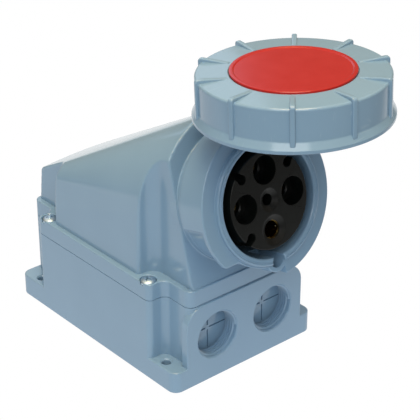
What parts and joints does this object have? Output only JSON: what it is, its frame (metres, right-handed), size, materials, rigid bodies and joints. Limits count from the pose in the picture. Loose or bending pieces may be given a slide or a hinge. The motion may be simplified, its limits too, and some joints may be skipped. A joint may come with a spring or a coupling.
{
  "type": "industrial wall socket",
  "caption": "Wall-mounted industrial power socket: box with cable entries, tilted round pin-and-sleeve outlet, and a hinged lid with a bayonet locking ring.",
  "frame": {"origin": "centre of the four wall fixing holes, on the back face that lies on the wall", "axes": "+Z out of the wall, -Y towards the socket's mouth and the cable entries, +X to the right of someone facing the mouth"},
  "size_m": [0.112, 0.2496, 0.2088],
  "materials": {
    "housing_grey": "satin moulded thermoplastic, grey-blue",
    "lid_grey": "satin moulded thermoplastic, grey-blue",
    "carrier_black": "matt moulded thermoset, black",
    "disc_red": "glossy moulded plastic, signal red",
    "contact_brass": "turned brass",
    "zinc_steel": "zinc-plated steel",
    "seal_rubber": "moulded rubber"
  },
  "bodies": {
    "housing": {"base_box": "housing_grey", "box_gasket": "seal_rubber", "hood": "housing_grey", "cover_screws": "zinc_steel", "socket_collar": "housing_grey", "collar_seal": "seal_rubber", "collar_clip": "zinc_steel", "contact_carrier": "carrier_black", "carrier_screws": "zinc_steel", "carrier_back": "carrier_black", "back_screws": "zinc_steel", "phase_sleeve_right": "contact_brass", "phase_sleeve_top": "contact_brass", "phase_sleeve_left": "contact_brass", "earth_sleeve": "contact_brass", "pilot_sleeve": "contact_brass", "sleeve_rings": "zinc_steel", "terminal_screws": "zinc_steel", "hinge_pin": "zinc_steel", "hinge_washers": "zinc_steel"},
    "lid": {"lid_cap": "lid_grey", "lid_gasket": "seal_rubber", "lid_disc": "disc_red"},
    "ring": {"lock_ring": "lid_grey"}
  },
  "joints": [
    {"name": "lid_hinge", "type": "hinge", "parent": "housing", "child": "lid", "pos_m": [0, -0.06072, 0.16666], "axis": [1, 0, 0], "range_deg": [-25, 78]},
    {"name": "ring_turn", "type": "hinge", "parent": "lid", "child": "ring", "pos_m": [0, -0.11395, 0.2058], "axis": [0, 0.0523, 0.9986], "range_deg": [-28, 0]}
  ]
}
